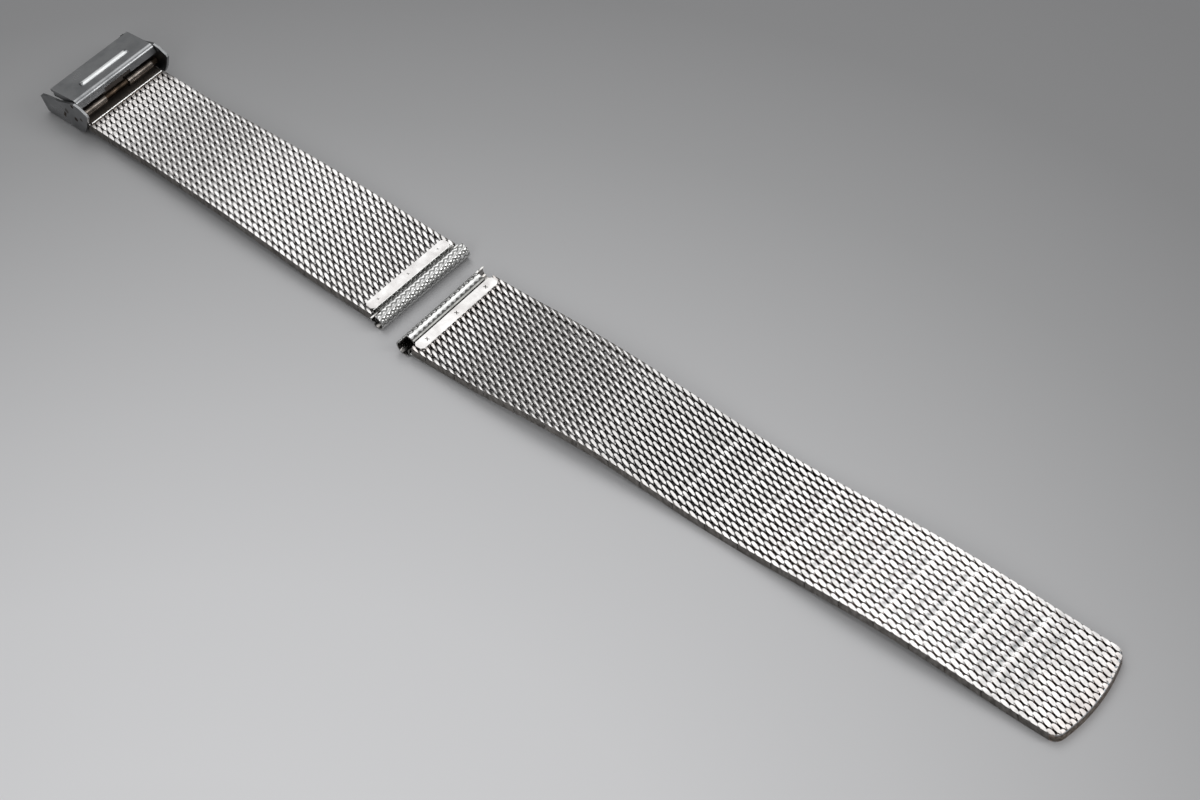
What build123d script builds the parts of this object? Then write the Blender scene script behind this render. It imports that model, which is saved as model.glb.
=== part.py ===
from build123d import *
import os
from math import atan2, cos, pi, radians, sin, tan

# A woven steel watch band in two straps, laid out on a table with the clasp's cover up.
# The origin is the middle of the long strap's spring bar bore. +X runs along the long strap
# to its tip, +Y across it and +Z up from the table. The short strap lies the other way.

# Lug ends: a rolled sheet tube with a flap under the mesh, and a flat strip on top
lug_width = 18.0
tube_radius = 1.30
sheet_gauge = 0.25
mouth_start = -46.0
mouth_end = -18.0
flap_floor = 1.05
strip_gap = 0.12
strip_width = 1.9
strip_thickness = 0.30
strip_setback = 0.60
strip_chamfer = 0.45
slot_gap = 0.05
seat_gap = 0.02

# Notches at the ends of the tubes, beside the strip
notch_length = 1.40
notch_floor = 0.30
long_notch_reach = 0.45
short_notch_reach = -0.05
tab_notch_length = 1.70
tab_notch_floor = -0.35
tab_notch_reach = 0.80

# Mesh: flattened coils that run across the strap, side by side
coil_pitch = 1.433
mesh_thickness = 1.50
coil_gap = 0.04
lug_setback = 0.30
tip_width = 16.0
taper_start = 15.0
long_taper_end = 37.0
short_taper_end = 52.0
anchor_coils = 2
coils_per_link = 4
long_links = 19
short_links = 10
clasp_coils = 4
coil_outline_shares = ((1.0, 0.0), (0.90, 0.55), (0.62, 1.0))

# Tip of the long strap, rounded a little more at its near side
tip_bulge = 0.95
tip_near_setback = 0.8
tip_far_setback = 1.9
tip_corner = 1.2
tip_crown_share = -0.25

# How the straps lie: heights over the table, and the short strap's place
bore_spacing = 6.45
short_side_shift = 1.4
short_turn = 1.33
clasp_mesh_height = 1.65
long_crest = 1.2
short_crest = 0.55

# Clasp: a folded channel on a bar through the mesh end's clip
clasp_gauge = 0.45
clasp_fold_radius = 0.35
tail_play = 0.15
mesh_play = 0.50
clasp_side_shift = 0.4
clasp_axis_height = 2.65
ear_heel_reach = 3.45
ear_length = 12.1
ear_height = 5.95
ear_outline_shares = ((0.326, 0.0), (0.896, 0.0), (0.921, 0.05), (1.0, 0.50), (0.971, 0.555),
                      (0.860, 0.625), (0.591, 0.745), (0.318, 0.966), (0.252, 1.0), (0.145, 0.983),
                      (0.020, 0.874), (0.0, 0.807), (0.078, 0.403), (0.153, 0.151))
base_start = 0.60
base_end = 7.30

# Clip on the mesh end: two knuckles, a flap over the mesh and a strip under it
clip_radius = 0.90
clip_play = 0.85
clip_gap_width = 4.7
clip_strip_width = 1.9
bar_play = 0.04
bar_tip_radius = 0.40
hole_play = 0.02

# Cross plate under the tail, with its ends in the ears
plate_reach = 2.85
plate_height = 2.20
plate_depth = 1.25
plate_thickness = 0.50
plate_angle = 67.0

# Cover that hooks the tail, rolled round a pin in the corners of the ears
cover_gauge = 0.40
cover_pin_radius = 0.34
cover_pin_reach = 0.05
cover_pin_height = 5.33
cover_slope = 6.5
cover_length = 5.8
lip_slope = 22.0
lip_length = 0.95
lip_notch_width = 5.3
lip_notch_depth = 0.55
cheek_length = 5.3
cheek_depth = 0.95
cheek_gauge = 0.30
rib_length = 9.6
rib_width = 1.0
rib_height = 0.22
rib_reach = 2.0
side_play = 0.12

# Sizes that follow from the ones above
overrun = 1.0
table = -tube_radius
wide_width = lug_width - 2 * lug_setback
strip_length = wide_width - 2 * strip_setback
inner_width = tip_width + 2 * tail_play
clasp_width = inner_width + 2 * clasp_gauge
clasp_end_width = inner_width - 2 * mesh_play
clip_length = inner_width - 2 * clip_play
bore_radius = tube_radius - sheet_gauge
lug_mesh_height = tube_radius - flap_floor + sheet_gauge + seat_gap + mesh_thickness / 2
mesh_start = tube_radius + slot_gap + seat_gap
strip_start = tube_radius + strip_gap
strip_end = strip_start + strip_width
anchored_end = mesh_start + anchor_coils * coil_pitch
long_coils = anchor_coils + long_links * coils_per_link
short_coils = anchor_coils + short_links * coils_per_link + clasp_coils
long_end = mesh_start + long_coils * coil_pitch
short_end = mesh_start + short_coils * coil_pitch
clasp_start = short_end - clasp_coils * coil_pitch
clasp_axis = short_end + seat_gap + slot_gap + clip_radius
clip_bore = clip_radius - sheet_gauge
cover_width = inner_width - 2 * side_play
roll_bore = cover_pin_radius + hole_play
roll_radius = roll_bore + cover_gauge

os.makedirs("parts", exist_ok=True)

# Side views of the two straps: x runs outward from the bore and y up
turn = radians(short_turn)
short_outward = Vector(-cos(turn), sin(turn), 0)
short_across = Vector(sin(turn), cos(turn), 0)
long_side = Plane(origin=(0, 0, 0), x_dir=(1, 0, 0), z_dir=(0, -1, 0))
short_side = Plane(origin=(-bore_spacing, short_side_shift, 0), x_dir=short_outward, z_dir=short_across)
clasp_side = short_side.offset(clasp_side_shift)
clasp_side.origin = clasp_side.origin + short_outward * clasp_axis + Vector(0, 0, table)


def keep(piece, name):
    """Labels a finished piece and writes it to its own file."""
    piece.label = name
    export_step(piece, f"parts/{name}.step")


def between(start, end, place):
    """Share of the way from start to end, held at 0 and 1 outside them."""
    return min(max((place - start) / (end - start), 0.0), 1.0)


def long_width(place):
    """Width of the long strap's mesh at a place along it."""
    return wide_width + (tip_width - wide_width) * between(taper_start, long_taper_end, place)


def short_width(place):
    """Width of the short strap's mesh at a place along it."""
    return wide_width + (clasp_end_width - wide_width) * between(taper_start, short_taper_end, place)


def long_height(place):
    """Height of the long strap's middle: two low arches between three resting places."""
    share = between(anchored_end, long_end, place)
    ease = between(0.0, 0.5, share)
    ease = ease * ease * (3 - 2 * ease)
    rest = lug_mesh_height + (mesh_thickness / 2 - lug_mesh_height) * ease
    return table + rest + long_crest * sin(2 * pi * share) ** 2


def short_height(place):
    """Height of the short strap's middle: one low arch that ends level in the clasp."""
    share = between(anchored_end, clasp_start, place)
    ease = share * share * (3 - 2 * share)
    rest = lug_mesh_height + (clasp_mesh_height - lug_mesh_height) * ease
    return table + rest + short_crest * sin(pi * share) ** 2


def coil_plane(side, height, place):
    """Plane of a coil's section, on the strap's middle line and square to it."""
    step = coil_pitch / 2
    lean = atan2(height(place + step) - height(place - step), 2 * step)
    along = side.x_dir * cos(lean) + side.y_dir * sin(lean)
    middle = side.from_local_coords(Vector(place, height(place), 0))
    return Plane(origin=middle, x_dir=along, z_dir=side.z_dir)


def coil_outline():
    """Section of one flattened coil, widest at half its thickness."""
    half_width = (coil_pitch - coil_gap) / 2
    half_depth = mesh_thickness / 2
    quarter = [(x * half_width, y * half_depth) for x, y in coil_outline_shares]
    top = quarter + [(-x, y) for x, y in reversed(quarter)]
    return top + [(x, -y) for x, y in reversed(top[1:-1])]


def add_coils(side, height, width, first, count):
    """Lays coils side by side, each of them a separate solid."""
    for number in range(first, first + count):
        place = mesh_start + (number + 0.5) * coil_pitch
        with BuildSketch(coil_plane(side, height, place)) as section:
            with BuildLine():
                Polyline(*coil_outline(), close=True)
            make_face()
        extrude(section.sketch, amount=width(place) / 2, both=True)


def add_block(side, low, high, half_width, mode=Mode.ADD):
    """A block between two corners of the side view, reaching half_width to each side."""
    with BuildSketch(side) as section:
        with Locations(((low[0] + high[0]) / 2, (low[1] + high[1]) / 2)):
            Rectangle(high[0] - low[0], high[1] - low[1])
    extrude(section.sketch, amount=half_width, both=True, mode=mode)


def add_polygon(side, points, half_width, mode=Mode.ADD):
    """A prism on a polygon of the side view, reaching half_width to each side."""
    with BuildSketch(side) as section:
        with BuildLine():
            Polyline(*points, close=True)
        make_face()
    extrude(section.sketch, amount=half_width, both=True, mode=mode)


def add_ring(side, radius, bore, half_width):
    """A tube round the side view's origin."""
    with BuildSketch(side) as section:
        Circle(radius)
        Circle(bore, mode=Mode.SUBTRACT)
    extrude(section.sketch, amount=half_width, both=True)


def add_lug_tube(side):
    """A sheet rolled nearly shut round the bore, with its flap running under the mesh."""
    reach = tube_radius + overrun
    add_ring(side, tube_radius, bore_radius, lug_width / 2)
    lower = (reach, reach * tan(radians(mouth_start)))
    upper = (reach, reach * tan(radians(mouth_end)))
    add_polygon(side, ((0, 0), lower, upper), lug_width, mode=Mode.SUBTRACT)
    flap_start = (flap_floor - sheet_gauge / 2) / tan(radians(-mouth_start)) - sheet_gauge
    add_block(side, (flap_start, -flap_floor), (strip_end, sheet_gauge - flap_floor), wide_width / 2)


def cut_notch(side, towards, length, floor, reach):
    """Opens the tube's end from its slot over the top to reach past the bore's middle."""
    end = side.offset(towards * lug_width / 2)
    corner = (tube_radius + overrun, tube_radius + overrun)
    add_block(end, (-reach, floor), corner, length, mode=Mode.SUBTRACT)


def add_lug_strip(side):
    """The flat strip on the mesh's visible face, chamfered at its ends."""
    floor = lug_mesh_height + table + mesh_thickness / 2 + seat_gap
    add_block(side, (strip_start, floor), (strip_end, floor + strip_thickness), strip_length / 2)
    corners = edges().filter_by(Axis.Z)
    chamfer(corners, length=strip_chamfer)


# Long strap's lug end
with BuildPart() as long_lug_tube:
    add_lug_tube(long_side)
    cut_notch(long_side, 1, notch_length, notch_floor, long_notch_reach)
    cut_notch(long_side, -1, tab_notch_length, tab_notch_floor, tab_notch_reach)
keep(long_lug_tube.part, "long_lug_tube")

with BuildPart() as long_lug_strip:
    add_lug_strip(long_side)
keep(long_lug_strip.part, "long_lug_strip")

with BuildPart() as long_lug_mesh:
    add_coils(long_side, long_height, long_width, 0, anchor_coils)
keep(long_lug_mesh.part, "long_lug_mesh")

# Long strap's mesh, link by link, the last one cut to the tip's outline
for link in range(long_links):
    with BuildPart() as long_link:
        first = anchor_coils + link * coils_per_link
        last = link == long_links - 1
        add_coils(long_side, long_height, long_width, first, coils_per_link + (1 if last else 0))
        if last:
            start = long_end - (coils_per_link + 1) * coil_pitch
            half = tip_width / 2
            near = (long_end + tip_bulge - tip_near_setback, -half)
            far = (long_end + tip_bulge - tip_far_setback, half)
            with BuildSketch(Plane.XY) as tip_outline:
                with BuildLine():
                    ThreePointArc(near, (long_end + tip_bulge, half * tip_crown_share), far)
                    Polyline(far, (start, half), (start, -half), near)
                make_face()
                fillet(tip_outline.vertices().group_by(Axis.X)[-2:], radius=tip_corner)
            extrude(amount=mesh_thickness + long_crest, both=True, mode=Mode.INTERSECT)
    keep(long_link.part, f"long_link_{link + 1:02d}")

# Short strap's lug end
with BuildPart() as short_lug_tube:
    add_lug_tube(short_side)
    for towards in (-1, 1):
        cut_notch(short_side, towards, notch_length, notch_floor, short_notch_reach)
keep(short_lug_tube.part, "short_lug_tube")

with BuildPart() as short_lug_strip:
    add_lug_strip(short_side)
keep(short_lug_strip.part, "short_lug_strip")

with BuildPart() as short_lug_mesh:
    add_coils(short_side, short_height, short_width, 0, anchor_coils)
keep(short_lug_mesh.part, "short_lug_mesh")

# Short strap's mesh, link by link
for link in range(short_links):
    with BuildPart() as short_link:
        first = anchor_coils + link * coils_per_link
        add_coils(short_side, short_height, short_width, first, coils_per_link)
    keep(short_link.part, f"short_link_{link + 1:02d}")

# Mesh end in the clasp: its coils, the clip and the strip under them
with BuildPart() as clasp_mesh:
    add_coils(short_side, short_height, short_width, short_coils - clasp_coils, clasp_coils)
keep(clasp_mesh.part, "clasp_mesh")

mesh_top = clasp_mesh_height + mesh_thickness / 2 + seat_gap
mesh_floor = clasp_mesh_height - mesh_thickness / 2 - seat_gap
clip_middle = short_side.origin + short_outward * clasp_axis + Vector(0, 0, table + clasp_axis_height)
clip_side = Plane(origin=clip_middle, x_dir=short_outward, z_dir=short_across)
clip_start = -clip_radius - slot_gap
clip_end = clip_start - clip_strip_width

with BuildPart() as clasp_clip:
    add_ring(clip_side, clip_radius, clip_bore, clip_length / 2)
    reach = clip_radius + overrun
    add_block(clip_side, (-reach, -reach), (reach, reach), clip_gap_width / 2, mode=Mode.SUBTRACT)
    flap_low = mesh_top - clasp_axis_height
    flap_start = -clip_bore - sheet_gauge / 2
    add_block(clip_side, (clip_end, flap_low), (flap_start, flap_low + sheet_gauge), clip_length / 2)
keep(clasp_clip.part, "clasp_clip")

with BuildPart() as clasp_under_strip:
    strip_top = mesh_floor - clasp_axis_height
    add_block(clip_side, (clip_end, strip_top - strip_thickness), (clip_start, strip_top), clip_length / 2)
keep(clasp_under_strip.part, "clasp_under_strip")

# Clasp: the folded channel with its two ears
with BuildPart() as clasp_channel:
    ear = [(x * ear_length - ear_heel_reach, y * ear_height) for x, y in ear_outline_shares]
    add_polygon(clasp_side, ear, clasp_width / 2)
    folds = edges().group_by(Axis.Z)[0].filter_by(Axis((0, 0, 0), short_outward))
    fillet(folds, radius=clasp_fold_radius)
    half = inner_width / 2
    above = (base_end + ear_length, ear_height + overrun)
    add_block(clasp_side, (-ear_length, clasp_gauge), above, half, mode=Mode.SUBTRACT)
    add_block(clasp_side, (-ear_length, -overrun), (base_start, clasp_gauge), half, mode=Mode.SUBTRACT)
    add_block(clasp_side, (base_end, -overrun), (ear_length, clasp_gauge), half, mode=Mode.SUBTRACT)
    with BuildSketch(clasp_side):
        with Locations((0, clasp_axis_height)):
            Circle(bar_tip_radius + hole_play)
        with Locations((cover_pin_reach, cover_pin_height)):
            Circle(cover_pin_radius + hole_play)
        with Locations((plate_reach, plate_height)):
            Rectangle(plate_depth + hole_play, plate_thickness + hole_play, rotation=180 - plate_angle)
    extrude(amount=clasp_width, both=True, mode=Mode.SUBTRACT)
keep(clasp_channel.part, "clasp_channel")

with BuildPart() as clasp_bar:
    with BuildSketch(clasp_side):
        with Locations((0, clasp_axis_height)):
            Circle(bar_tip_radius)
    extrude(amount=clasp_width / 2, both=True)
    with BuildSketch(clasp_side):
        with Locations((0, clasp_axis_height)):
            Circle(clip_bore - bar_play)
    extrude(amount=inner_width / 2 - side_play, both=True)
keep(clasp_bar.part, "clasp_bar")

with BuildPart() as clasp_cross_plate:
    with BuildSketch(clasp_side):
        with Locations((plate_reach, plate_height)):
            Rectangle(plate_depth - hole_play, plate_thickness - hole_play, rotation=180 - plate_angle)
    extrude(amount=clasp_width / 2, both=True)
keep(clasp_cross_plate.part, "clasp_cross_plate")

with BuildPart() as cover_pin:
    with BuildSketch(clasp_side):
        with Locations((cover_pin_reach, cover_pin_height)):
            Circle(cover_pin_radius)
    extrude(amount=clasp_width / 2, both=True)
keep(cover_pin.part, "cover_pin")

# Cover: the roll, the sloping plate with its rib and cheeks, and the notched lip
cover_origin = clasp_side.from_local_coords(Vector(cover_pin_reach, cover_pin_height, 0))
slope = radians(cover_slope)
plate_way = short_outward * cos(slope) - Vector(0, 0, sin(slope))
plate_side = Plane(origin=cover_origin, x_dir=plate_way, z_dir=short_across)
lean = radians(lip_slope)
lip_way = Vector(0, 0, -cos(lean)) - short_outward * sin(lean)
lip_side = Plane(origin=cover_origin, x_dir=lip_way, z_dir=short_across)

with BuildPart() as cover:
    add_ring(plate_side, roll_radius, roll_bore, cover_width / 2)
    add_block(plate_side, (0, roll_bore), (cover_length, roll_radius), cover_width / 2)
    add_block(lip_side, (0, -roll_radius), (lip_length, -roll_bore), cover_width / 2)
    notch_low = (lip_length - lip_notch_depth, -roll_radius - overrun)
    notch_high = (lip_length + overrun, -roll_bore + sheet_gauge)
    add_block(lip_side, notch_low, notch_high, lip_notch_width / 2, mode=Mode.SUBTRACT)
    for towards in (-1, 1):
        cheek = plate_side.offset(towards * (cover_width - cheek_gauge) / 2)
        foot = roll_radius - cover_gauge / 2 - cheek_depth
        add_block(cheek, (roll_bore, foot), (cheek_length, roll_bore), cheek_gauge / 2)
    rib_foot = roll_radius - cover_gauge / 2
    rib_near = rib_reach - rib_width / 2
    rib_far = rib_reach + rib_width / 2
    with BuildSketch(plate_side) as rib:
        with BuildLine():
            ThreePointArc((rib_near, roll_radius), (rib_reach, roll_radius + rib_height), (rib_far, roll_radius))
            Polyline((rib_far, roll_radius), (rib_far, rib_foot), (rib_near, rib_foot), (rib_near, roll_radius))
        make_face()
    extrude(rib.sketch, amount=rib_length / 2, both=True)
keep(cover.part, "cover")
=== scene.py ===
import bpy
from math import atan2, cos, hypot, pi, radians, sin, sqrt, tan
from mathutils import Matrix, Vector


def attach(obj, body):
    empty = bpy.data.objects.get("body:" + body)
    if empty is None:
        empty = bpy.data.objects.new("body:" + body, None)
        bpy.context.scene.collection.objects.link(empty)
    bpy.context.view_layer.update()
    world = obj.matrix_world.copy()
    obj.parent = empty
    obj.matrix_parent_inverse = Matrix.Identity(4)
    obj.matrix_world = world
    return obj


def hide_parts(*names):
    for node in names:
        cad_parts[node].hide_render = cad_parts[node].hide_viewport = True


# Looks for a woven steel watch band in two straps. Lengths are in metres, in the part's frame:
# +X along the long strap to its tip, +Y across it, +Z up from the table.

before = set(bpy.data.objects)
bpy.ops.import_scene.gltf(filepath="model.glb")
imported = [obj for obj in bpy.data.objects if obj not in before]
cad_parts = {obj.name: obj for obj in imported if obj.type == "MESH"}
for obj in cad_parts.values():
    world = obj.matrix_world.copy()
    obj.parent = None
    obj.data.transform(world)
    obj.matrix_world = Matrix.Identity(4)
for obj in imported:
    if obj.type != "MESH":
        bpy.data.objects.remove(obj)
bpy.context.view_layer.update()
MM = 0.001
up = Vector((0, 0, 1))

# Sizes shared with the part. The mouth of the rolled tubes is in degrees round their bore.
lug_width = 18.0 * MM
tube_radius = 1.30 * MM
sheet_gauge = 0.25 * MM
mouth_start = -46.0
mouth_end = -18.0
flap_floor = 1.05 * MM
strip_gap = 0.12 * MM
strip_width = 1.9 * MM
strip_thickness = 0.30 * MM
strip_length = 16.2 * MM
slot_gap = 0.05 * MM
seat_gap = 0.02 * MM
notch_length = 1.40 * MM
notch_floor = 0.30 * MM
long_notch_reach = 0.45 * MM
short_notch_reach = -0.05 * MM
tab_notch_length = 1.70 * MM
tab_notch_floor = -0.35 * MM
tab_notch_reach = 0.80 * MM
coil_pitch = 1.433 * MM
mesh_thickness = 1.50 * MM
wide_width = 17.4 * MM
tip_width = 16.0 * MM
clasp_end_width = 15.3 * MM
taper_start = 15.0 * MM
long_taper_end = 37.0 * MM
short_taper_end = 52.0 * MM
anchor_coils = 2
coils_per_link = 4
long_links = 19
short_links = 10
clasp_coils = 4
tip_bulge = 0.95 * MM
tip_near_setback = 0.8 * MM
tip_far_setback = 1.9 * MM
tip_corner = 1.2 * MM
tip_crown_share = -0.25
bore_spacing = 6.45 * MM
short_side_shift = 1.4 * MM
short_turn = radians(1.33)
clasp_mesh_height = 1.65 * MM
long_crest = 1.2 * MM
short_crest = 0.55 * MM
clip_radius = 0.90 * MM
clasp_side_shift = 0.4 * MM
cover_pin_reach = 0.05 * MM
cover_pin_height = 5.33 * MM
cover_slope = radians(6.5)
roll_radius = 0.76 * MM
rib_length = 9.6 * MM
rib_width = 1.0 * MM
rib_height = 0.22 * MM
rib_reach = 2.0 * MM
clip_strip_width = 1.9 * MM
clip_half = 7.3 * MM
inner_half = 8.0 * MM
clasp_half = 8.6 * MM

# Weave: each coil is an oval wire, ground to a flat facet where the strap is worn flat
turns_across = 16.5
spare_turns = 2
tip_extra_coils = 1
path_steps = 24
wire_width = 0.54 * MM
wire_depth = 0.46 * MM
bend_thinning = 0.32
facet_width = 0.46 * MM
bend_width = 0.20 * MM
facet_end = 0.82
coil_reach = 0.95 * MM
round_reach = 0.12 * MM
flat_lift = 0.095 * MM
ground_from = 0.25
ground_full = 0.85
round_squareness = 2.7
ground_squareness = 1.9
oval_power = 0.8
ground_section = ((1.10, 0.25), (1.0, 0.85), (0.4, 1.0), (-0.4, 1.0), (-1.0, 0.85), (-1.10, 0.25),
                  (-1.05, -0.25), (-0.8, -0.8), (-0.3, -1.0), (0.3, -1.0), (0.8, -0.8), (1.05, -0.25))
edge_inset = 0.02 * MM
crisp_angle = radians(37)

# Ground sides of the mesh, with room to fold between the links
plate_depth = 0.22 * MM
plate_columns = 6
plate_low_inset = 0.04 * MM
plate_top_inset = 0.10 * MM
plate_top_gain = 0.05 * MM
scallop_depth = 0.07 * MM
fold_room_top = 0.10 * MM
fold_room_low = 0.03 * MM

# Rows pressed across the long strap: of every four coils three are dented, the last is left plain, and the
# second and third are pushed together
pressed_rows = 4
pressed_start_share = 0.40
pressed_end_share = 0.936
pressed_half_share = 0.42
pressed_fade_share = 0.12
least_pressure = 0.35
dent_strengths = (0.85, 1.0, 0.50)
dent_edges = (((0.05 * MM, -0.15 * MM),),
              ((-0.45 * MM, -0.25 * MM), (0.60 * MM, 0.45 * MM)),
              ((0.05 * MM, 0.25 * MM),))
dent_depth = 0.05 * MM
dent_fade_low = 0.14 * MM
dent_fade_high = 0.04 * MM
dent_wear = 0.18
wear_per_coil = 7.1
wear_per_turn = 2.3
dent_grain = 0.26
dent_grain_corners = 3
joined_rows = (1, 2)
join_start = 0.30 * MM
join_end = 0.60 * MM
join_widening = 0.05 * MM

# Painted shade and warmth of the weave: by depth under its faces, or by share of a coil's reach
gap_shade_start = 0.03 * MM
gap_shade_full = 0.22 * MM
gap_warm_start = 0.02 * MM
gap_warm_full = 0.12 * MM
# Where along a wire the painted shade over whole wires fades out
wire_shade_end_shares = (0.60, 0.85)
# Painted shade at the ends of the ground facets
facet_end_shade_shares = (facet_end - 0.05, facet_end + 0.03)
# How strongly the pressed dents take their dark blue painted reflection
dent_reflection_strength = 0.90

# Stamped waves of the lug tubes, with their angles in degrees
tube_turns = 120
tube_rows = 300
stamp_depth = 0.07 * MM
stamp_fade_in = 12
stamp_fade_out = 20
long_stamp_start = 88
short_stamp_start = mouth_end + 30
wave_along = 0.98 * MM
wave_round = 0.84 * MM
wave_sway = 1.4
wave_sharpness = 3.6
# How strongly the stamped grooves take painted shade
wave_shade = 0.85
slot_edge = 54
slot_jag = 14
slot_fade = 4
# How dark the painted shade is along the slot beside the long tube's strip
slot_shade = 0.92
# Tone of the tubes' bores: painted shade, a little warm
bore_shade_tone = (0.6, 0.1, 0.0)

# Camera
camera_place = Vector((243.446, -181.238, 316.7125)) * MM
camera_aim = Vector((29.628, 0.310, 0.0)) * MM
camera_roll = radians(10.662)
camera_lens = 91.2975

table = -tube_radius
lug_mesh_height = tube_radius - flap_floor + sheet_gauge + seat_gap + mesh_thickness / 2
mesh_start = tube_radius + slot_gap + seat_gap
mesh_top = table + lug_mesh_height + mesh_thickness / 2 + seat_gap
strip_start = tube_radius + strip_gap
strip_end = strip_start + strip_width
strip_top = mesh_top + strip_thickness
anchored_end = mesh_start + anchor_coils * coil_pitch
long_coils = anchor_coils + long_links * coils_per_link
short_coils = anchor_coils + short_links * coils_per_link + clasp_coils
long_end = mesh_start + long_coils * coil_pitch
short_end = mesh_start + short_coils * coil_pitch
clasp_start = short_end - clasp_coils * coil_pitch
clasp_axis = short_end + seat_gap + slot_gap + clip_radius


def between(start, end, place):
    """Share of the way from start to end, held at 0 and 1 outside them."""
    return min(max((place - start) / (end - start), 0.0), 1.0)


def smooth(start, end, place):
    """Share of the way from start to end, eased at both."""
    share = between(start, end, place)
    return share * share * (3 - 2 * share)


def profile(place, value, *steps):
    """A value along a strap: a first one, then gains, each eased in between two places."""
    for gain, start, end in steps:
        value += gain * smooth(start, end, place)
    return value


def along_stretch(place, rise_start, rise_end, fall_start, fall_end):
    """1 along a stretch of a strap, eased in at its start and out at its end."""
    return smooth(rise_start, rise_end, place) * smooth(fall_end, fall_start, place)


def long_width(place):
    """Width of the long strap's mesh at a place along it."""
    return wide_width + (tip_width - wide_width) * between(taper_start, long_taper_end, place)


def short_width(place):
    """Width of the short strap's mesh at a place along it."""
    return wide_width + (clasp_end_width - wide_width) * between(taper_start, short_taper_end, place)


def long_height(place):
    """Height of the long strap's middle."""
    share = between(anchored_end, long_end, place)
    rest = lug_mesh_height + (mesh_thickness / 2 - lug_mesh_height) * smooth(0.0, 0.5, share)
    return table + rest + long_crest * sin(2 * pi * share) ** 2


def short_height(place):
    """Height of the short strap's middle."""
    share = between(anchored_end, clasp_start, place)
    rest = lug_mesh_height + (clasp_mesh_height - lug_mesh_height) * smooth(0.0, 1.0, share)
    return table + rest + short_crest * sin(pi * share) ** 2


def long_flatness(place):
    """How far the wires are rolled flat: round past the lug, flat from the middle on."""
    return profile(place, 0.18, (0.24, 14 * MM, 6 * MM), (0.82, 24 * MM, 50 * MM))


def short_flatness(place):
    """How far the wires are rolled flat: least ahead of the clasp, most inside it."""
    return profile(place, 0.30, (0.16, 46 * MM, 30 * MM), (0.45, 55 * MM, 64 * MM))


# Looks of the weave: fullness and facet widen the oval wire and its ground facet, slant leans the coils,
# grime paints shade on what lies deep and end_grime on the ends of the facets, dull paints
# shade over whole wires, warm and gap_warm tint the wires and what lies deep, and pressure is how hard the
# rows are pressed.
def long_looks(place):
    """How the long strap's wires look at a place, by its share of the strap's length."""
    share = place / long_end
    pressed = pressed_start_share < share < pressed_end_share
    pressing = (1 - least_pressure, pressed_start_share, pressed_end_share)
    # Painted shade over whole wires, in bands along the strap
    dull = 0.08 * along_stretch(share, 0.05, 0.12, 0.22, 0.50)
    dull += 0.27 * along_stretch(share, 0.24, 0.34, 0.42, 0.60)
    return {
        "fullness": profile(share, 0.96, (0.02, 0.25, 0.35), (0.17, 0.50, 0.68)),
        "facet": profile(share, 0.98, (0.42, 0.44, 0.80)),
        "slant": 0.0,
        # Painted shade on what lies deep between the wires
        "grime": profile(share, 0.20, (0.50, 0.20, 0.42), (-0.46, 0.52, 0.72)),
        "end_grime": profile(share, 0.90, (-0.52, 0.52, 0.72)),
        "dull": profile(share, dull, (0.16, 0.80, 0.92)),
        "warm": profile(share, 0.0, (0.30, 0.055, 0.0), (0.20, 0.975, 1.0)),
        "gap_warm": profile(share, 0.0, (0.78, 0.45, 0.70)),
        "pressure": profile(share, least_pressure, pressing) if pressed else 0.0}


def short_looks(place):
    """How the short strap's wires look at a place, by the place or its share of the strap's length."""
    share = place / short_end
    return {
        "fullness": profile(place, 0.88, (0.23, 6 * MM, 24 * MM), (0.06, 52 * MM, 62 * MM)),
        "facet": 1.25,
        "slant": 0.03,
        "grime": 0.04,
        "end_grime": 0.35,
        "dull": 0.10 * along_stretch(share, 0.50, 0.78, 0.84, 0.96),
        "warm": profile(share, 0.0, (0.20, 0.90, 1.0)),
        "gap_warm": 0.0,
        "pressure": 0.0}


# Each strap's bore, its way outward and across, then its heights, widths, flatness and looks
long_way = (Vector((0, 0, 0)), Vector((1, 0, 0)), Vector((0, 1, 0)),
            long_height, long_width, long_flatness, long_looks)
short_out = Vector((-cos(short_turn), sin(short_turn), 0))
short_cross = Vector((sin(short_turn), cos(short_turn), 0))
short_way = (Vector((-bore_spacing, short_side_shift, 0)), short_out, short_cross,
             short_height, short_width, short_flatness, short_looks)


def circle_through(a, b, c):
    """Middle and radius of the circle through three points."""
    divisor = 2 * (a[0] * (b[1] - c[1]) + b[0] * (c[1] - a[1]) + c[0] * (a[1] - b[1]))
    square_a, square_b, square_c = (point[0] ** 2 + point[1] ** 2 for point in (a, b, c))
    x = (square_a * (b[1] - c[1]) + square_b * (c[1] - a[1]) + square_c * (a[1] - b[1])) / divisor
    y = (square_a * (c[0] - b[0]) + square_b * (a[0] - c[0]) + square_c * (b[0] - a[0])) / divisor
    return x, y, hypot(a[0] - x, a[1] - y)


tip_circle = circle_through((long_end + tip_bulge - tip_near_setback, -tip_width / 2),
                            (long_end + tip_bulge, tip_width / 2 * tip_crown_share),
                            (long_end + tip_bulge - tip_far_setback, tip_width / 2))


def tip_edge(y):
    """Where the long strap ends at a place across it: an arc with rounded corners."""
    x, middle, radius = tip_circle
    end = x + sqrt(max(radius ** 2 - (y - middle) ** 2, 0.0))
    past = min(max(abs(y) - (tip_width / 2 - tip_corner), 0.0), tip_corner)
    return end - (tip_corner - sqrt(max(tip_corner ** 2 - past ** 2, 0.0)))


def power(value, exponent):
    """A signed power, for a squared-off oval."""
    return (abs(value) ** exponent) * (1 if value >= 0 else -1)


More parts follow.
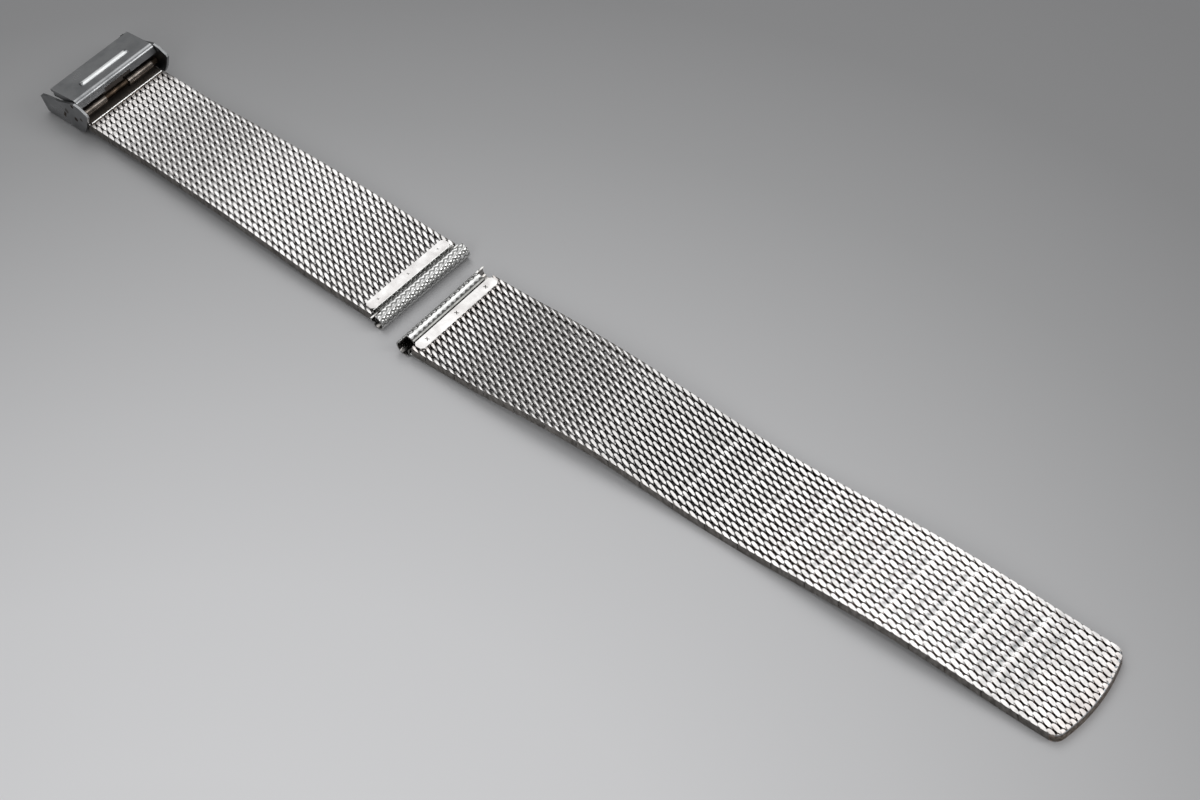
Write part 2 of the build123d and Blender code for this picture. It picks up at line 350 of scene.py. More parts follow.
def build_mesh(name, points, faces, material, body, tones=None, rounded=True):
    """Makes a mesh object that rides on a body."""
    data = bpy.data.meshes.new(name)
    data.from_pydata(points, [], faces)
    data.update()
    if rounded:
        data.polygons.foreach_set("use_smooth", [True] * len(data.polygons))
        data.set_sharp_from_angle(angle=crisp_angle)
    if tones:
        layer = data.color_attributes.new("tone", "FLOAT_COLOR", "POINT")
        layer.data.foreach_set("color", [value for tone in tones for value in (*tone, 1.0)])
    data.materials.append(material)
    obj = bpy.data.objects.new(name, data)
    bpy.context.scene.collection.objects.link(obj)
    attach(obj, body)
    return obj


def join(parts):
    """Puts several lists of points, faces and tones into one."""
    points = []
    faces = []
    tones = []
    for more_points, more_faces, more_tones in parts:
        start = len(points)
        points.extend(more_points)
        faces.extend(tuple(start + k for k in face) for face in more_faces)
        tones.extend(more_tones)
    return points, faces, tones


# Shader building blocks
noise_low = 0.3
noise_high = 0.7
fine_factor = 5
bump_height = 0.02 * MM
# Colour of the painted shade in the weave and the tubes
painted_shade_colour = (0.075, 0.075, 0.07)
warm_shade = (0.42, 0.31, 0.25)
# Dark blue painted reflection in the pressed dents
dent_reflection_colour = (0.065, 0.08, 0.09)


def principled(name, base, metallic, roughness):
    """A new material with its nodes, and its shader."""
    material = bpy.data.materials.new(name)
    material.use_nodes = True
    shader = material.node_tree.nodes["Principled BSDF"]
    shader.inputs["Base Color"].default_value = (*base, 1.0)
    shader.inputs["Metallic"].default_value = metallic
    shader.inputs["Roughness"].default_value = roughness
    return material, shader


def noise(tree, scale, detail=4.0, stretch=(1, 1, 1)):
    """Noise over the object's own coordinates."""
    coords = tree.nodes.new("ShaderNodeTexCoord")
    mapping = tree.nodes.new("ShaderNodeMapping")
    mapping.inputs["Scale"].default_value = stretch
    texture = tree.nodes.new("ShaderNodeTexNoise")
    texture.inputs["Scale"].default_value = scale
    texture.inputs["Detail"].default_value = detail
    tree.links.new(coords.outputs["Object"], mapping.inputs["Vector"])
    tree.links.new(mapping.outputs["Vector"], texture.inputs["Vector"])
    return texture.outputs["Fac"]


def ramp(tree, source, stops):
    """A colour ramp fed by a value. A new ramp has two stops, and the others are added."""
    node = tree.nodes.new("ShaderNodeValToRGB")
    elements = node.color_ramp.elements
    for index, (place, colour) in enumerate(stops):
        element = elements[index] if index < 2 else elements.new(place)
        element.position = place
        element.color = (*colour, 1.0)
    tree.links.new(source, node.inputs["Fac"])
    return node.outputs["Color"]


def mix(tree, share, first, shade):
    """A colour mixed with a plain shade by a value."""
    node = tree.nodes.new("ShaderNodeMix")
    node.data_type = "RGBA"
    node.inputs["B"].default_value = (*shade, 1.0)
    tree.links.new(share, node.inputs["Factor"])
    tree.links.new(first, node.inputs["A"])
    return node.outputs["Result"]


def calculate(tree, kind, operation, source, value=None):
    """One step of arithmetic on a node's output."""
    node = tree.nodes.new(kind)
    node.operation = operation
    if value is not None:
        node.inputs[1].default_value = value
    tree.links.new(source, node.inputs[0])
    return node.outputs["Value"]


def bump(tree, shader, source, strength, edge=0.0):
    """Bump from a value, over edges that are softened by a small radius."""
    node = tree.nodes.new("ShaderNodeBump")
    node.inputs["Strength"].default_value = strength
    node.inputs["Distance"].default_value = bump_height
    tree.links.new(source, node.inputs["Height"])
    if edge:
        soft = tree.nodes.new("ShaderNodeBevel")
        soft.samples = 6
        soft.inputs["Radius"].default_value = edge
        tree.links.new(soft.outputs["Normal"], node.inputs["Normal"])
    tree.links.new(node.outputs["Normal"], shader.inputs["Normal"])


def steel(name, dark, light, rough_low, rough_high, scale, bumpiness, edge=0.0, stretch=(1, 1, 1)):
    """Worn steel, whose tone and gloss vary a little over the surface: its material, shader and colour."""
    material, shader = principled(name, light, 1.0, rough_low)
    tree = material.node_tree
    wear = noise(tree, scale, stretch=stretch)
    colour = ramp(tree, wear, ((noise_low, dark), (noise_high, light)))
    gloss = ramp(tree, wear, ((noise_low, (rough_high,) * 3), (noise_high, (rough_low,) * 3)))
    tree.links.new(colour, shader.inputs["Base Color"])
    tree.links.new(gloss, shader.inputs["Roughness"])
    bump(tree, shader, noise(tree, scale * fine_factor, stretch=stretch), bumpiness, edge)
    return material, shader, colour


def toned_steel(name, dark, light, rough_low, rough_high, scale, bumpiness):
    """Steel whose painted shade, warmth and painted reflection in the pressed dents follow the mesh's own
    tones.
    """
    material, shader, colour = steel(name, dark, light, rough_low, rough_high, scale, bumpiness)
    tree = material.node_tree
    marks = tree.nodes.new("ShaderNodeAttribute")
    marks.attribute_name = "tone"
    split = tree.nodes.new("ShaderNodeSeparateColor")
    tree.links.new(marks.outputs["Color"], split.inputs["Color"])
    # Red paints shade, green tints warm and blue paints the dents' reflection
    for channel, shade in (("Red", painted_shade_colour), ("Green", warm_shade), ("Blue", dent_reflection_colour)):
        colour = mix(tree, split.outputs[channel], colour, shade)
    tree.links.new(colour, shader.inputs["Base Color"])
    return material


# Steels: darkest and lightest colour, smoothest and roughest finish, noise scale, bump and softened edge
clasp_finish = ((0.19, 0.195, 0.20), (0.36, 0.365, 0.37), 0.26, 0.36, 260, 0.10, 0.09 * MM)
# Near-black painted shade in the clasp's channel between the ears
channel_painted_shade = (0.035, 0.03, 0.027)
wire_steel = toned_steel("wire_steel", (0.60, 0.585, 0.575), (0.78, 0.765, 0.755), 0.20, 0.32, 700, 0.12)
stamped_steel = toned_steel("stamped_steel", (0.50, 0.50, 0.49), (0.72, 0.72, 0.71), 0.18, 0.30, 900, 0.15)
# Darker steel for the mesh's ground sides: the ground steel, with painted shade of the holes between the coil
# ends
side_steel_and_shade = steel("side_steel_and_shade", (0.12, 0.11, 0.10), (0.32, 0.30, 0.28), 0.38, 0.55, 1500, 0.5,
                   stretch=(1.0, 1.0, 0.5))[0]
strip_steel = steel("strip_steel", (0.50, 0.48, 0.47), (0.70, 0.69, 0.68), 0.24, 0.36, 420, 0.15,
                    0.04 * MM)[0]
clasp_steel = steel("clasp_steel", *clasp_finish)[0]
clip_steel = steel("clip_steel", (0.07, 0.06, 0.05), (0.21, 0.185, 0.165), 0.26, 0.38, 500, 0.15,
                   0.06 * MM)[0]
# Bright steel for the flap's rolled edge and the strip's folded wall: a painted highlight
highlight_steel = steel("highlight_steel", (0.70, 0.70, 0.69), (0.88, 0.88, 0.87), 0.20, 0.30, 600, 0.08)[0]
# Dark steel for the weld marks, and for the painted shade of the near ear's holes
mark_and_shade_steel = steel("mark_and_shade_steel", (0.05, 0.045, 0.04), (0.20, 0.19, 0.18), 0.40, 0.60, 900, 0.2)[0]
pin_steel = steel("pin_steel", (0.035, 0.027, 0.02), (0.12, 0.085, 0.06), 0.35, 0.55, 900, 0.2, 0.04 * MM)[0]
grain_steel = steel("grain_steel", (0.10, 0.08, 0.065), (0.34, 0.29, 0.25), 0.38, 0.55, 2600, 0.6)[0]
tip_steel = steel("tip_steel", (0.42, 0.45, 0.48), (0.66, 0.70, 0.73), 0.28, 0.42, 900, 0.2)[0]
# Near-white, half-metallic steel for the cover's rib: a painted highlight
rib_highlight_steel, rib_highlight_shader, _ = steel("rib_highlight_steel", (0.84, 0.86, 0.86), (0.93, 0.94, 0.94), 0.30, 0.42, 700, 0.08)
rib_highlight_shader.inputs["Metallic"].default_value = 0.35


def wire_section(ground):
    """The wire's section: an oval, or a flattened one where it is ground."""
    section = []
    for corner, (wide, deep) in enumerate(ground_section):
        turn = 2 * pi * (corner + 0.5) / len(ground_section)
        section.append((power(cos(turn), oval_power) * (1 - ground) + wide * ground,
                        power(sin(turn), oval_power) * (1 - ground) + deep * ground))
    return section


def dent(row, x):
    """How strongly the stamp dents a coil of a pressed row, at a place along the coil."""
    mark = dent_strengths[row]
    for start, end in dent_edges[row]:
        mark *= smooth(start, end, x)
    return mark


def wire_tone(looks, ground, taper, joining, mark, depth):
    """Painted shade, warmth and the dents' painted reflection at a point of the weave, by its depth under the
    mesh's faces.
    """
    dull = looks["dull"] * (1 - smooth(*wire_shade_end_shares, taper))
    dull = max(dull, looks["grime"] * smooth(gap_shade_start, gap_shade_full, depth))
    dull = max(dull, looks["end_grime"] * ground * smooth(*facet_end_shade_shares, taper) * (1 - joining))
    warm = max(looks["warm"], looks["gap_warm"] * smooth(gap_warm_start, gap_warm_full, depth))
    return dull * (1 - joining), warm, dent_reflection_strength * mark


def coil(way, number, last):
    """One wire wound across the strap, ground flush at both edges."""
    origin, outward, across, height, width, flatness, looks_at = way
    sense = 1 if outward.x > 0 else -1
    place = mesh_start + (number + 0.5) * coil_pitch
    step = coil_pitch / 2
    lean = atan2(height(place + step) - height(place - step), 2 * step)
    forward = (outward * cos(lean) + up * sin(lean)) * sense
    above = up * cos(lean) - outward * sin(lean)
    middle = origin + outward * place + up * height(place)
    half = width(place) / 2
    pitch = 2 * half / turns_across
    flat = flatness(place)
    ground = smooth(ground_from, ground_full, flat)
    section = wire_section(ground)
    looks = looks_at(place)
    rise = mesh_thickness / 2 - wire_depth / 2 + flat_lift * flat
    reach = coil_reach + round_reach * (1 - ground)
    squareness = round_squareness + ground_squareness * ground
    slope = pitch / 2 / coil_pitch + looks["slant"]
    facet = facet_width / 2 * looks["facet"]
    near_limit = -step if number == 0 else -2 * reach
    far_limit = step if sense < 0 and number == short_coils - 1 else 2 * reach
    row = number % pressed_rows
    pressure = looks["pressure"] if row < len(dent_strengths) else 0.0

    def centre(index):
        """Middle of the wire: the upper half turn follows the slope, the lower one leads to the next turn."""
        turn = index / path_steps
        angle = 2 * pi * turn
        whole = int(turn // 1)
        x = -reach * power(cos(angle), 2 / squareness)
        z = rise * power(sin(angle), 2 / squareness)
        if turn - whole < 0.5:
            y = half + pitch - pitch * (whole + 0.25) - slope * x
        else:
            y = half + pitch - pitch * (whole + 0.75) + (pitch / 2 / reach - slope) * x
        return Vector((x, y, z))

    points = []
    tones = []
    count = int((turns_across + spare_turns) * path_steps)
    for index in range(count + 1):
        here = centre(index)
        tangent = (centre(index + 1) - centre(index - 1)).normalized()
        normal = Vector((tangent.z, 0, -tangent.x))
        if normal.x * here.x / reach + normal.z * here.z / rise < 0:
            normal = -normal
        normal.normalize()
        side = tangent.cross(normal)
        taper = abs(here.x) / reach
        round_half = wire_width / 2 * (1 - bend_thinning * taper ** 2)
        facet_half = max(facet * sqrt(max(1 - (taper / facet_end) ** 3, 0.0)), bend_width / 2)
        half_wide = looks["fullness"] * round_half * (1 - ground) + facet_half * ground
        force = 0.0
        joining = 0.0
        if pressure and here.z > 0 and abs(here.y) < pressed_half_share * 2 * half:
            edge_share = abs(here.y) / (2 * half)
            force = pressure * smooth(pressed_half_share, pressed_half_share - pressed_fade_share, edge_share)
            wear = sin(wear_per_coil * number + wear_per_turn * (index // path_steps))
            force *= 1 - dent_wear + dent_wear * wear
            if row in joined_rows:
                towards = here.x if row == joined_rows[0] else -here.x
                joining = pressure * smooth(join_start, join_end, towards)
        half_wide += join_widening * joining
        for corner, (wide, deep) in enumerate(section):
            point = here + side * (half_wide * wide) + normal * (wire_depth / 2 * deep)
            mark = 0.0
            if force:
                grain = 1 - dent_grain + dent_grain * cos(2 * pi * corner / dent_grain_corners)
                mark = dent(row, point.x) * force * grain
                mark *= smooth(dent_fade_low, dent_fade_high, mesh_thickness / 2 - point.z)
            point.z = min(max(point.z, -mesh_thickness / 2), mesh_thickness / 2 - dent_depth * mark)
            along = min(max(point.x * sense, near_limit), far_limit)
            side_limit = width(place + along) / 2 - edge_inset
            point.y = min(max(point.y, -side_limit), side_limit)
            spot = middle + forward * (along * sense) + across * point.y + above * point.z
            if last:
                spot.x = min(spot.x, tip_edge(spot.y) - edge_inset)
            points.append(spot)
            depth = mesh_thickness / 2 - abs(point.z)
            tones.append(wire_tone(looks, ground, taper, joining, mark, depth))
    faces = []
    ring_steps = len(section)
    for index in range(count):
        for corner in range(ring_steps):
            a = index * ring_steps + corner
            b = index * ring_steps + (corner + 1) % ring_steps
            faces.append((a, a + ring_steps, b + ring_steps, b))
    return points, faces, tones


def side_plates(way, number, last, starts, ends):
    """The ground ends of one coil's turns: a plate flush with each side of the strap.

    Where the coil starts or ends its link, the plates stop short and leave room to fold.
    """
    origin, outward, across, height, width, flatness, _ = way
    place = mesh_start + (number + 0.5) * coil_pitch
    flat = flatness(place)
    low = -mesh_thickness / 2 + plate_low_inset
    high = mesh_thickness / 2 - (plate_top_inset - plate_top_gain * flat)
    end = 4 * plate_columns
    faces = []
    for a in range(0, end, 4):
        b = a + 4
        faces += [(a, a + 1, b + 1, b), (a + 2, b + 2, b + 3, a + 3),
                  (a + 1, a + 3, b + 3, b + 1), (a, b, b + 2, a + 2)]
    faces += [(0, 2, 3, 1), (end, end + 1, end + 3, end + 2)]
    parts = []
    for towards in (-1, 1):
        points = []
        for column in range(plate_columns + 1):
            spot = place - coil_pitch / 2 + coil_pitch * column / plate_columns
            scallop = (1 - flat) * scallop_depth * cos(pi * column / plate_columns) ** 2
            inward = int(starts and column == 0) - int(ends and column == plate_columns)
            for depth in (0.0, plate_depth):
                for level in (low + scallop, high - scallop):
                    room = (fold_room_top if level > 0 else fold_room_low) * inward
                    y = towards * (width(spot) / 2 - depth)
                    point = origin + outward * (spot + room) + across * y + up * (height(spot) + level)
                    if last:
                        point.x = min(point.x, tip_edge(point.y) - edge_inset)
                    points.append(point)
        parts.append((points, faces, []))
    return join(parts)


def weave(node, way, first, count, body, last=False):
    """The coils of one node, in place of its plain bars."""
    numbers = range(first, first + count)
    points, faces, tones = join([coil(way, number, last) for number in numbers])
    obj = build_mesh(f"weave_{node}", points, faces, wire_steel, body, tones)
    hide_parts(node)
    sides = [side_plates(way, number, last, number == numbers[0], number == numbers[-1] and not last)
             for number in numbers]
    points, faces, _ = join(sides)
    plates = build_mesh(f"sides_{node}", points, faces, side_steel_and_shade, body, rounded=False)


weave("long_lug_mesh", long_way, 0, anchor_coils, "lug_ends")
for link in range(long_links):
    name = f"long_link_{link + 1:02d}"
    last = link == long_links - 1
    count = coils_per_link + (tip_extra_coils if last else 0)
    weave(name, long_way, anchor_coils + link * coils_per_link, count, name, last)
weave("short_lug_mesh", short_way, 0, anchor_coils, "lug_ends")
for link in range(short_links):
    name = f"short_link_{link + 1:02d}"
    weave(name, short_way, anchor_coils + link * coils_per_link, coils_per_link, name)
weave("clasp_mesh", short_way, short_coils - clasp_coils, clasp_coils, "short_end")


def tip_band():
    """The soldered band at the tip: an end face and a bevel that widens to the far side."""
    rows = 72
    foot_inset = 0.15 * MM
    foot_lift = 0.02 * MM
    foot_rise = 0.15 * MM
    shoulder_drop = 0.22 * MM
    least_width = 0.06 * MM
    width_gain = 0.34 * MM
    widening_shares = (0.35, 0.9)
    round_share = 0.35
    round_drop = 0.06 * MM
    crest_lift = 0.005 * MM
    root_width = 0.03 * MM
    root_drop = 0.20 * MM
    bottom = long_height(long_end) - mesh_thickness / 2
    top = long_height(long_end) + mesh_thickness / 2
    wall = []
    bevel = []
    for row in range(rows + 1):
        y = -tip_width / 2 + tip_width * row / rows
        x = tip_edge(y)
        wide = least_width + width_gain * smooth(*widening_shares, row / rows)
        shoulder = Vector((x, y, top - shoulder_drop))
        foot = Vector((x - foot_inset, y, bottom + foot_lift))
        wall += [foot, Vector((x, y, bottom + foot_rise)), shoulder]
        root = Vector((x - wide - root_width, y, top - root_drop))
        bevel += [shoulder, Vector((x - wide * round_share, y, top - round_drop)),
                  Vector((x - wide, y, top + crest_lift)), root]

    def strip(points, across, name, material):
        faces = []
        for row in range(rows):
            for k in range(across - 1):
                a = row * across + k
                faces.append((a, a + across, a + across + 1, a + 1))
        obj = build_mesh(name, points, faces, material, f"long_link_{long_links:02d}")

    strip(wall, 3, "tip_wall", grain_steel)
    strip(bevel, 4, "tip_bevel", tip_steel)


tip_band()


def tube_sheet(way, stamped_from):
    """Points and tones of a tube's rolled sheet: its outer face, stamped with waves and painted with shade in
    their grooves and along the slot, then its bore, painted with shade.
    """
    origin, outward, across = way[:3]
    final = 360 + mouth_start
    # Painted shade along the slot, on the long strap's tube only
    grime = slot_shade if outward.x > 0 else 0.0
    points = []
    tones = []
    for inner in (False, True):
        for row in range(tube_rows + 1):
            y = -lug_width / 2 + lug_width * row / tube_rows
            slot_end = slot_edge + slot_jag * abs(2 * ((y / wave_along) % 1.0) - 1)
            for k in range(tube_turns + 1):
                degrees = mouth_end + (final - mouth_end) * k / tube_turns
                angle = radians(degrees)
                stamped = smooth(stamped_from, stamped_from + stamp_fade_in, degrees)
                stamped *= smooth(final, final - stamp_fade_out, degrees)
                round_tube = tube_radius * angle
                wave = sin(2 * pi * round_tube / wave_round + wave_sway * sin(2 * pi * y / wave_along))
                depth = stamp_depth * stamped * (0.5 - 0.5 * wave) ** wave_sharpness
                radius = tube_radius - (sheet_gauge if inner else depth)
                x, z = radius * cos(angle), radius * sin(angle)
                points.append(origin + outward * x + across * y + up * z)
                slot = grime * smooth(slot_end + slot_fade, slot_end, degrees)
                tones.append(bore_shade_tone if inner else (max(wave_shade * depth / stamp_depth, slot), 0.0, 0.0))
    return points, tones


def tube_faces(notches):
    """Faces of a tube's sheet, outside, inside and round its edges, with the notches left open."""
    stride = tube_turns + 1
    layer = (tube_rows + 1) * stride

    def kept(row, k):
        """Whether a cell of the sheet is there: on the sheet and in no notch."""
        if not (0 <= row < tube_rows and 0 <= k < tube_turns):
            return False
        y = -lug_width / 2 + lug_width * (row + 0.5) / tube_rows
        angle = radians(mouth_end + (360 + mouth_start - mouth_end) * (k + 0.5) / tube_turns)
        x, z = tube_radius * cos(angle), tube_radius * sin(angle)
        return not any(side * y > lug_width / 2 - length and x > -reach and z > floor
                       for side, length, floor, reach in notches)

    faces = []
    for row in range(tube_rows):
        for k in range(tube_turns):
            if not kept(row, k):
                continue
            a = row * stride + k
            b, c, d = a + 1, a + stride + 1, a + stride
            faces += [(a, d, c, b), (layer + a, layer + b, layer + c, layer + d)]
            if not kept(row - 1, k):
                faces.append((a, b, layer + b, layer + a))
            if not kept(row + 1, k):
                faces.append((d, layer + d, layer + c, c))
            if not kept(row, k - 1):
                faces.append((a, layer + a, layer + d, d))
            if not kept(row, k + 1):
                faces.append((b, c, layer + c, layer + b))
    return faces


def lug_tube(node, way, notches, stamped_from):
    """A rolled sheet tube, stamped with waves outside, with its flap under the mesh."""
    origin, outward, across = way[:3]
    points, tones = tube_sheet(way, stamped_from)
    start = len(points)
    faces = tube_faces(notches)
    if outward.x > 0:
        faces = [tuple(reversed(face)) for face in faces]
    flap_start = (flap_floor - sheet_gauge / 2) / tan(radians(-mouth_start)) - sheet_gauge
    for x in (flap_start, strip_end):
        for y in (-wide_width / 2, wide_width / 2):
            for z in (-flap_floor, sheet_gauge - flap_floor):
                points.append(origin + outward * x + across * y + up * z)
                tones.append((0.0, 0.0, 0.0))
    faces += [tuple(start + k for k in face) for face in
              ((0, 1, 3, 2), (4, 6, 7, 5), (0, 4, 5, 1), (2, 3, 7, 6), (0, 2, 6, 4), (1, 5, 7, 3))]
    obj = build_mesh(f"stamped_{node}", points, faces, stamped_steel, "lug_ends", tones, rounded=False)
    obj.data.polygons.foreach_set("use_smooth", [max(face) < start // 2 for face in faces])
    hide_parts(node)


# Notches of each tube: the side they are on, their length, floor and reach
long_notches = ((-1, notch_length, notch_floor, long_notch_reach),
                (1, tab_notch_length, tab_notch_floor, tab_notch_reach))
short_notches = ((-1, notch_length, notch_floor, short_notch_reach),
                 (1, notch_length, notch_floor, short_notch_reach))
lug_tube("long_lug_tube", long_way, long_notches, long_stamp_start)
lug_tube("short_lug_tube", short_way, short_notches, short_stamp_start)


def cover_rib():
    """The rounded rib on the cover, in near-white steel as a painted highlight."""
    rows = 48
    arcs = 12
    lift = 0.003 * MM
    end_rows = 3
    end_width_share = 0.6
    crown_power = 0.8
    plate_way = short_out * cos(cover_slope) - up * sin(cover_slope)
    plate_up = up * cos(cover_slope) + short_out * sin(cover_slope)
    pin = short_way[0] + short_out * (clasp_axis + cover_pin_reach) + short_cross * clasp_side_shift
    pin.z = table + cover_pin_height
    points = []
    for row in range(rows + 1):
        y = -rib_length / 2 - lift + (rib_length + 2 * lift) * row / rows
        end = min(min(row, rows - row) / end_rows, 1.0)
        full = sqrt(1 - (1 - end) ** 2)
        for k in range(arcs + 1):
            angle = pi * k / arcs
            wide = end_width_share + (1 - end_width_share) * full
            x = rib_reach - (rib_width / 2 + lift) * cos(angle) * wide
            z = roll_radius + (rib_height + lift) * sin(angle) ** crown_power * full
            points.append(pin + plate_way * x + short_cross * y + plate_up * z)
    faces = []
    for row in range(rows):
        for k in range(arcs):
            a = row * (arcs + 1) + k
            faces.append((a, a + 1, a + arcs + 2, a + arcs + 1))
    obj = build_mesh("cover_rib", points, faces, rib_highlight_steel, "cover")


cover_rib()


def extruded(name, section, way, low, high, material, body):
    """A straight piece: a section in outward and height, run across a strap."""
    origin, outward, across = way[:3]
    count = len(section)
    points = [origin + outward * x + up * z + across * y for y in (low, high) for x, z in section]
    faces = [(k, (k + 1) % count, count + (k + 1) % count, count + k) for k in range(count)]
    faces += [tuple(range(count - 1, -1, -1)), tuple(range(count, 2 * count))]
    obj = build_mesh(name, points, faces, material, body, rounded=False)


# The short strap's strip is folded down beside the tube
wall_near_gap = 0.035 * MM
wall_far_gap = 0.062 * MM
wall_drop = 0.9 * MM
wall_inset = 0.005 * MM
wall_start = tube_radius + wall_near_gap
wall_end = tube_radius + wall_far_gap
wall_foot = strip_top - wall_drop
wall_top = strip_top - wall_inset
wall = [(wall_start, wall_foot), (wall_end, wall_foot), (wall_end, mesh_top), (strip_start, mesh_top),
        (strip_start, wall_top), (wall_start, wall_top)]
# Its folded wall is in bright steel, as a painted highlight
extruded("strip_wall", wall, short_way, -strip_length / 2, strip_length / 2, highlight_steel,
         "lug_ends")

# Rolled edge of the clip's flap, in bright steel as a painted highlight
bead_radius = 0.10 * MM
bead_sink = 0.06 * MM
bead_steps = 8
bead_middle = clasp_axis - clip_radius - slot_gap - clip_strip_width + bead_sink
bead_level = table + clasp_mesh_height + mesh_thickness / 2 + seat_gap + sheet_gauge - bead_sink
bead = []
for k in range(bead_steps + 1):
    angle = pi * k / bead_steps
    bead.append((bead_middle + bead_radius * cos(angle), bead_level + bead_radius * sin(angle)))
extruded("flap_edge", bead, short_way, -clip_half, clip_half, highlight_steel, "short_end")

# Small crossed marks, as spot welds leave, along each strip
weld_size = {"long": 0.75 * MM, "short": 0.45 * MM}
weld_shares = (-0.38, 0.0, 0.38)
weld_lift = 0.004 * MM
weld_leans = (radians(28), radians(-40))
stroke_share = 0.09


def cross_mark(name, way, along, side, height, size, material, body):
    """A small crossed mark lying on a flat piece."""
    origin, outward, across = way[:3]
    middle = origin + outward * along + across * side + up * height
    points = []
    faces = []
    for lean in weld_leans:
        run = outward * cos(lean) + across * sin(lean)
        wide = outward * -sin(lean) + across * cos(lean)
        start = len(points)
        for a, b in ((-1, -1), (1, -1), (1, 1), (-1, 1)):
            points.append(middle + run * (a * size / 2) + wide * (b * size * stroke_share))
        face = (start, start + 1, start + 2, start + 3)
        faces.append(face if outward.x > 0 else tuple(reversed(face)))
    obj = build_mesh(name, points, faces, material, body, rounded=False)


for way, strap in ((long_way, "long"), (short_way, "short")):
    for index, share in enumerate(weld_shares):
        cross_mark(f"weld_{strap}_{index + 1}", way, strip_start + strip_width / 2, share * strip_length,
                   strip_top + weld_lift, weld_size[strap], mark_and_shade_steel, "lug_ends")


def paint_shade_between_ears():
    """The clasp's steel for its channel, with painted shade between the ears."""
    material, shader, colour = steel("channel_shaded_steel", *clasp_finish)
    tree = material.node_tree
    spot = tree.nodes.new("ShaderNodeTexCoord").outputs["Object"]
    sideways = calculate(tree, "ShaderNodeVectorMath", "DOT_PRODUCT", spot, short_cross)
    middle = short_way[0].dot(short_cross) + clasp_side_shift
    offset = calculate(tree, "ShaderNodeMath", "SUBTRACT", sideways, middle)
    distance = calculate(tree, "ShaderNodeMath", "ABSOLUTE", offset)
    within = calculate(tree, "ShaderNodeMath", "LESS_THAN", distance, inner_half)
    tree.links.new(mix(tree, within, colour, channel_painted_shade), shader.inputs["Base Color"])
    return material


# Steels of the pieces that keep their own shape
materials = {
    "long_lug_strip": strip_steel, "short_lug_strip": strip_steel, "clasp_clip": clip_steel,
    "clasp_under_strip": clip_steel, "clasp_bar": pin_steel, "clasp_cross_plate": pin_steel,
    "cover_pin": pin_steel, "cover": clasp_steel, "clasp_channel": paint_shade_between_ears()}
for node, material in materials.items():
    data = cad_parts[node].data
    data.materials.clear()
    data.materials.append(material)

# Two holes in the near ear, drawn as dark patches of painted shade: a crooked one and a round one
ear_hole_shade_lift = 0.006 * MM
round_hole_radius = 0.32 * MM
round_hole_corners = 16
crooked_outline = [(x * MM, z * MM) for x, z in ((-0.5, 0.1), (-0.1, -0.6), (0.5, -0.15), (0.1, 0.65))]
round_outline = []
for k in range(round_hole_corners):
    angle = 2 * pi * k / round_hole_corners
    round_outline.append((round_hole_radius * cos(angle), round_hole_radius * sin(angle)))


def ear_hole_shade(name, along, height, outline):
    """A dark patch on the near ear's outer face: the painted shade of a hole."""
    origin, outward, across = short_way[:3]
    outer = clasp_side_shift - clasp_half - ear_hole_shade_lift
    middle = origin + outward * (clasp_axis + along) + across * outer + up * (table + height)
    points = [middle + outward * x + up * z for x, z in outline]
    obj = build_mesh(name, points, [tuple(range(len(points)))], mark_and_shade_steel, "clasp", rounded=False)


ear_hole_shade("ear_hole_shade_1", along=2.02 * MM, height=3.36 * MM, outline=crooked_outline)
ear_hole_shade("ear_hole_shade_2", along=-1.48 * MM, height=3.34 * MM, outline=round_outline)

# Table: grey, a little glossy, with a painted pool of light, lightest in front of the band, and a fine grain
table_reach = 3.0
table_base = (0.33, 0.33, 0.335)
table_roughness = 0.42
light_pool_middle = Vector((50, -110, 0)) * MM
light_pool_reach = 240 * MM
light_pool_greys = ((0.083, 0.205), (0.208, 0.232), (0.333, 0.315), (0.458, 0.43), (0.583, 0.545), (0.708, 0.64),
               (0.833, 0.685))
light_pool_blue = 1.012
grain_scale = 900
grain_detail = 3.0
grain_strength = 0.06


def lay_table():
    """The table under the band, with its painted pool of light."""
    corners = ((-1, -1), (1, -1), (1, 1), (-1, 1))
    data = bpy.data.meshes.new("floor")
    data.from_pydata([(x * table_reach, y * table_reach, table) for x, y in corners], [], [(0, 1, 2, 3)])
    floor = bpy.data.objects.new("floor", data)
    bpy.context.scene.collection.objects.link(floor)
    material, shader = principled("table_grey", table_base, 0.0, table_roughness)
    tree = material.node_tree
    coords = tree.nodes.new("ShaderNodeTexCoord")
    mapping = tree.nodes.new("ShaderNodeMapping")
    mapping.vector_type = "POINT"
    location = (-light_pool_middle.x / light_pool_reach, -light_pool_middle.y / light_pool_reach, 0.0)
    mapping.inputs["Location"].default_value = location
    mapping.inputs["Scale"].default_value = (1 / light_pool_reach, 1 / light_pool_reach, 0.0)
    gradient = tree.nodes.new("ShaderNodeTexGradient")
    gradient.gradient_type = "SPHERICAL"
    tree.links.new(coords.outputs["Object"], mapping.inputs["Vector"])
    tree.links.new(mapping.outputs["Vector"], gradient.inputs["Vector"])
    greys = [(place, (grey, grey, grey * light_pool_blue)) for place, grey in light_pool_greys]
    tree.links.new(ramp(tree, gradient.outputs["Fac"], greys), shader.inputs["Base Color"])
    bump(tree, shader, noise(tree, grain_scale, grain_detail), grain_strength)
    data.materials.append(material)


lay_table()

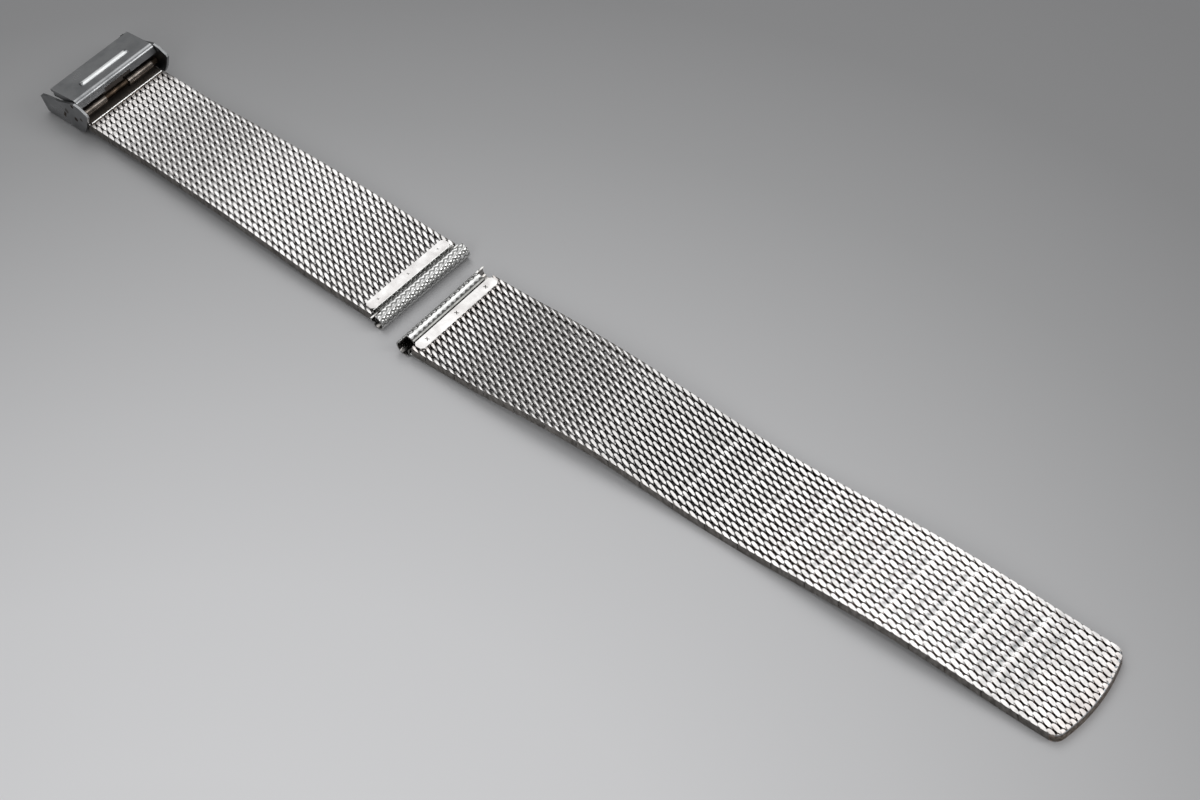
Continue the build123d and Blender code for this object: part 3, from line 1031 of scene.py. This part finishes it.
# Studio: a soft sky that darkens to the horizon, and three lamps
sky_greys = ((0.0, 0.10), (0.35, 0.16), (0.7, 0.50), (1.0, 0.95))
sky_green = 1.005
sky_blue = 1.015
lamp_aim = Vector((20, 0, 0)) * MM


def light_sky():
    """The sky's brightness, by height."""
    world = bpy.data.worlds.new("world")
    bpy.context.scene.world = world
    world.use_nodes = True
    tree = world.node_tree
    sky = tree.nodes.new("ShaderNodeTexCoord")
    split = tree.nodes.new("ShaderNodeSeparateXYZ")
    tree.links.new(sky.outputs["Generated"], split.inputs["Vector"])
    greys = [(place, (grey, grey * sky_green, grey * sky_blue)) for place, grey in sky_greys]
    tree.links.new(ramp(tree, split.outputs["Z"], greys), tree.nodes["Background"].inputs["Color"])
    tree.nodes["Background"].inputs["Strength"].default_value = 1.0


def lamp(name, direction, distance, size, radiance):
    """A soft square lamp of a given brightness, aimed at the middle of the band."""
    data = bpy.data.lights.new(name, "AREA")
    data.shape = "SQUARE"
    data.size = size
    data.energy = radiance * pi * size * size
    obj = bpy.data.objects.new(name, data)
    bpy.context.scene.collection.objects.link(obj)
    place = lamp_aim + Vector(direction).normalized() * distance
    obj.location = place
    obj.rotation_euler = (lamp_aim - place).to_track_quat("-Z", "Y").to_euler()


light_sky()
lamp("window", direction=(-0.425, 0.317, 0.848), distance=1.0, size=0.73, radiance=1.18)
lamp("key", direction=(0.72, 0.41, 0.55), distance=1.0, size=0.36, radiance=5.0)
lamp("front", direction=(0.35, -0.75, 0.55), distance=1.2, size=0.5, radiance=2.2)

camera_data = bpy.data.cameras.new("camera")
camera_data.lens = camera_lens
camera_data.sensor_width = 36.0
camera_data.clip_start = 0.01
camera_data.clip_end = 20.0
camera = bpy.data.objects.new("camera", camera_data)
bpy.context.scene.collection.objects.link(camera)
forward = (camera_aim - camera_place).normalized()
level = forward.cross(up).normalized()
raised = level.cross(forward)
right = level * cos(camera_roll) - raised * sin(camera_roll)
top = raised * cos(camera_roll) + level * sin(camera_roll)
turned = Matrix((right, top, -forward)).transposed().to_4x4()
camera.matrix_world = Matrix.Translation(camera_place) @ turned
bpy.context.scene.camera = camera
bpy.context.scene.view_settings.view_transform = "Standard"
